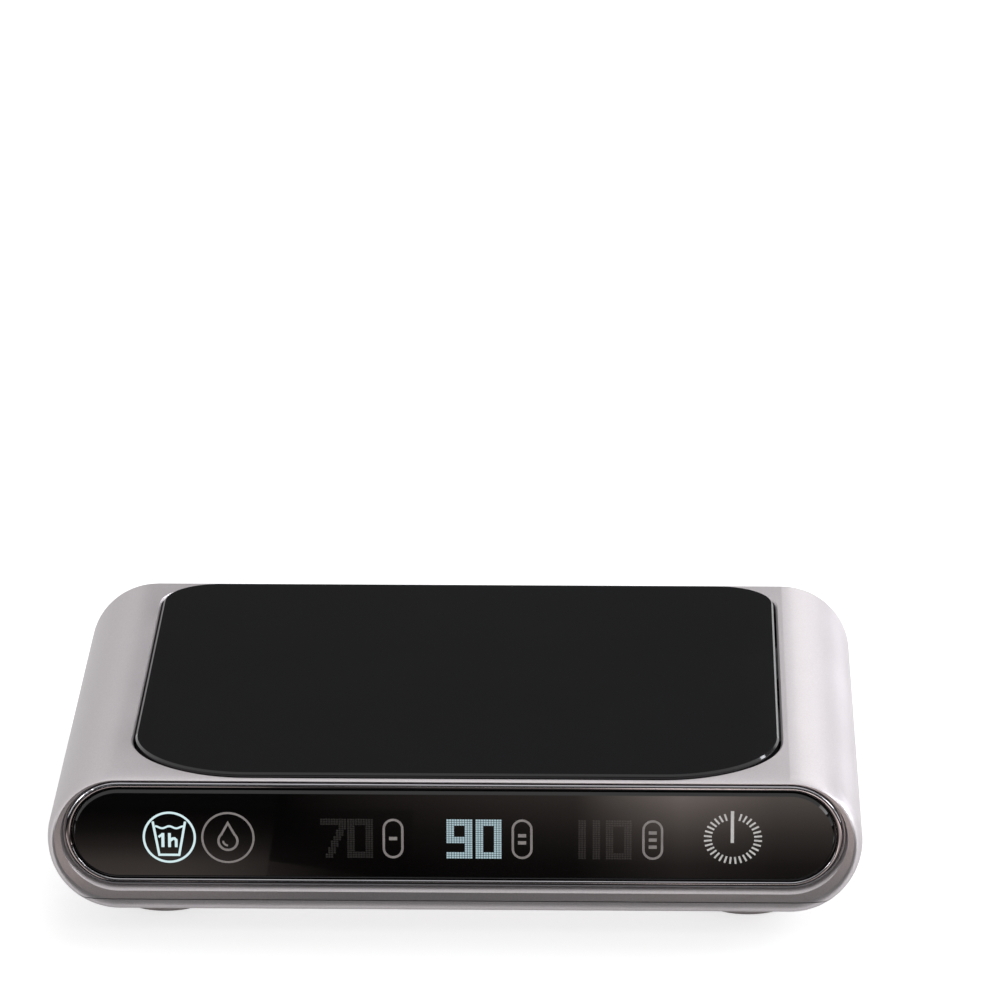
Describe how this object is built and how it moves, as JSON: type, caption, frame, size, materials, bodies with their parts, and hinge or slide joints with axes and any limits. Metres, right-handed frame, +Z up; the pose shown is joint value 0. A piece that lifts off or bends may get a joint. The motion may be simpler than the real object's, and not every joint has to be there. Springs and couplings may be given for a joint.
{
  "type": "electric mug warmer",
  "caption": "Low rounded slab that keeps a mug hot on a floating black glass hot plate, with a touch panel in its front face.",
  "frame": {"origin": "centre of the footprint on the table, under the feet", "axes": "+Z up, the touch panel faces -Y, +X to the right of someone who faces the panel"},
  "size_m": [0.125, 0.0982, 0.0254],
  "materials": {
    "silver_shell": "silver metallic paint, satin, on moulded ABS",
    "black_glass": "black-backed toughened glass, polished edge",
    "smoked_lens": "smoked acrylic, polished",
    "chrome_ring": "chrome-plated ABS, polished",
    "rubber_foot": "moulded silicone rubber, matt",
    "steel_screw": "zinc-plated steel",
    "tape": "black foam adhesive tape",
    "diffuser_film": "milky polycarbonate film",
    "white_plastic": "white moulded ABS",
    "circuit_board": "glass-epoxy board with green solder mask",
    "led": "white LED package",
    "spring_steel": "drawn spring wire",
    "chip": "black moulded epoxy",
    "silicone": "heat-resistant silicone adhesive",
    "heat_plastic": "black glass-filled PBT",
    "aluminium_plate": "rolled sheet",
    "heater_foil": "etched foil in polyimide film",
    "insulation": "ceramic fibre felt",
    "steel_sheet": "galvanised sheet",
    "sensor_bead": "epoxy bead",
    "fuse_case": "plated case",
    "inlet_plastic": "black PBT",
    "contact_brass": "nickel-plated brass",
    "capacitor_can": "sleeved can",
    "ferrite": "shielded ferrite",
    "connector_plastic": "natural nylon",
    "ribbon": "white flexible flat cable",
    "heater_wire": "red silicone insulation",
    "sensor_wire": "black silicone insulation"
  },
  "bodies": {
    "base": {"upper_housing": "silver_shell", "bottom_cover": "silver_shell", "foot_front_left": "rubber_foot", "foot_front_right": "rubber_foot", "foot_rear_left": "rubber_foot", "foot_rear_right": "rubber_foot", "cover_screws": "steel_screw", "panel_ring": "chrome_ring", "panel_lens": "smoked_lens", "lens_tape": "tape", "display_diffuser": "diffuser_film", "display_mask": "white_plastic", "display_board": "circuit_board", "display_leds": "led", "touch_springs": "spring_steel", "touch_controller": "chip", "display_screws": "steel_screw", "return_springs": "spring_steel", "switch_body": "heat_plastic", "main_board": "circuit_board", "board_screws": "steel_screw", "dc_inlet_body": "inlet_plastic", "dc_inlet_pin": "contact_brass", "dc_inlet_contact": "contact_brass", "storage_capacitor": "capacitor_can", "inductor": "ferrite", "power_transistor": "chip", "controller_chip": "chip", "buzzer": "chip", "heater_connector": "connector_plastic", "thermistor_connector": "connector_plastic", "ribbon_connector": "connector_plastic", "display_connector": "connector_plastic", "ribbon_cable": "ribbon", "heater_leads": "heater_wire", "thermistor_leads": "sensor_wire"},
    "hot_plate": {"glass_plate": "black_glass", "glass_bond": "silicone", "plate_carrier": "heat_plastic", "heat_spreader": "aluminium_plate", "heater_element": "heater_foil", "insulation_pad": "insulation", "heater_retainer": "steel_sheet", "retainer_screws": "steel_screw", "thermistor": "sensor_bead", "thermal_fuse": "fuse_case", "fuse_strap": "steel_sheet"},
    "switch_lever": {"switch_lever": "spring_steel"},
    "switch_plunger": {"switch_plunger": "white_plastic"}
  },
  "joints": [
    {"name": "plate_press", "type": "slide", "parent": "base", "child": "hot_plate", "axis": [0, 0, -1], "range_m": [0, 0.0005], "stiffness_N_per_m": 1500, "springref_m": -0.002, "deforming": ["return_springs", "heater_leads", "thermistor_leads"]},
    {"name": "lever_swing", "type": "hinge", "parent": "base", "child": "switch_lever", "pos_m": [-0.033, -0.0389, 0.0138], "axis": [0, 1, 0], "range_deg": [0, 2.7]},
    {"name": "plunger_travel", "type": "slide", "parent": "base", "child": "switch_plunger", "axis": [0, 0, -1], "range_m": [0, 0.00025]}
  ],
  "couplings": [
    {"joint": "lever_swing", "follows": "plate_press", "rad_per_m": 90.909},
    {"joint": "plunger_travel", "follows": "plate_press", "ratio": 0.4545}
  ]
}
